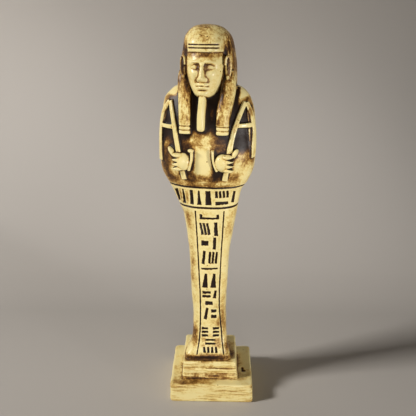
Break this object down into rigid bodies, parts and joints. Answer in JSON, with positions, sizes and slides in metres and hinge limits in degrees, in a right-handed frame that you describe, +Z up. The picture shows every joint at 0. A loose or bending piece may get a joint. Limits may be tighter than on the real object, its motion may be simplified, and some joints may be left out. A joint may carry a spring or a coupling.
{
  "type": "ushabti figurine",
  "caption": "Upright mummy-shaped attendant figurine with wig, beard, crossed hands and hoes, cast in one piece with a two-step base.",
  "frame": {"origin": "centre of the bounding box, at the level of the base's underside", "axes": "+Z up along the figure, -Y towards the front, +X to the viewer's right as they face it"},
  "size_m": [0.0504, 0.0412, 0.2],
  "materials": {
    "ivory_resin": "semi-gloss ivory-yellow filled resin, dark brown stain rubbed into the recesses"
  },
  "bodies": {
    "root": {"ushabti_figurine": "ivory_resin"}
  },
  "joints": []
}
